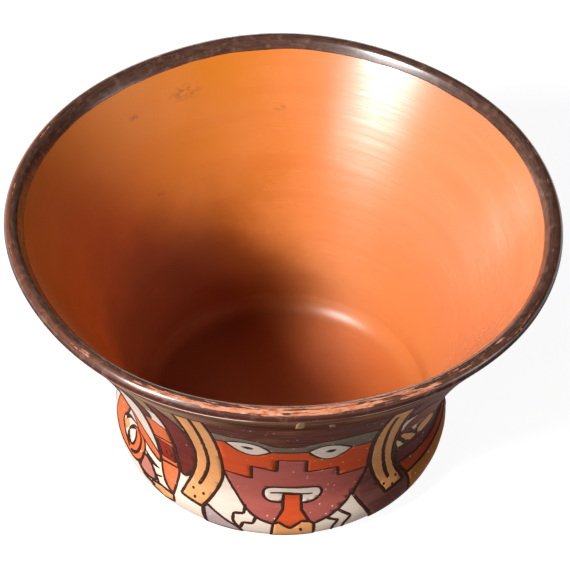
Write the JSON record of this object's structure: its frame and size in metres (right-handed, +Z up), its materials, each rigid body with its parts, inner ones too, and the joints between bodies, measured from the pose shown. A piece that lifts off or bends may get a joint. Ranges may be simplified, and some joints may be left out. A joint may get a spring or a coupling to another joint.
{
  "type": "pottery bowl",
  "caption": "Hand-built flaring pottery bowl with a rounded heel and a thin lip, slip-painted outside with a masked face on two sides and burnished inside.",
  "frame": {"origin": "centre of the base, on the flat face that the bowl rests on", "axes": "+Z up through the mouth; one painted face looks along -Y and its repeat along +Y"},
  "size_m": [0.175, 0.175, 0.098],
  "materials": {
    "fired_clay": "matt, worn pink-orange where bare",
    "lining_slip": "burnished, satin gloss",
    "rim_slip": "burnished, worn along the lip",
    "cream_slip": "smooth, slightly matt",
    "red_slip": "burnished",
    "orange_slip": "burnished",
    "mauve_slip": "burnished",
    "ochre_slip": "burnished",
    "maroon_slip": "burnished",
    "grey_slip": "burnished",
    "lilac_slip": "burnished"
  },
  "bodies": {
    "root": {"clay_body": "fired_clay", "inner_lining": "lining_slip", "rim_band": "rim_slip", "ground_coat": "cream_slip", "upper_band": "rim_slip", "front_forehead": "maroon_slip", "front_brow": "grey_slip", "front_mask_band": "red_slip", "front_left_eye": "cream_slip", "front_right_eye": "cream_slip", "front_lower_mask": "mauve_slip", "front_mouth": "cream_slip", "front_tongue": "red_slip", "front_chin_piece": "ochre_slip", "front_left_ribbon": "ochre_slip", "front_right_ribbon": "ochre_slip", "front_left_crescent": "maroon_slip", "front_left_spindle": "orange_slip", "front_right_field": "maroon_slip", "front_maroon_streamer": "maroon_slip", "front_orange_streamer": "orange_slip", "front_ochre_streamer": "ochre_slip", "front_left_strip": "orange_slip", "front_left_tail": "orange_slip", "front_left_leaf": "mauve_slip", "front_grey_wedge": "lilac_slip", "back_forehead": "maroon_slip", "back_brow": "grey_slip", "back_mask_band": "red_slip", "back_left_eye": "cream_slip", "back_right_eye": "cream_slip", "back_lower_mask": "mauve_slip", "back_mouth": "cream_slip", "back_tongue": "red_slip", "back_chin_piece": "ochre_slip", "back_left_ribbon": "ochre_slip", "back_right_ribbon": "ochre_slip", "back_left_crescent": "maroon_slip", "back_left_spindle": "orange_slip", "back_right_field": "maroon_slip", "back_maroon_streamer": "maroon_slip", "back_orange_streamer": "orange_slip", "back_ochre_streamer": "ochre_slip", "back_left_strip": "orange_slip", "back_left_tail": "orange_slip", "back_left_leaf": "mauve_slip", "back_grey_wedge": "lilac_slip"}
  },
  "joints": []
}
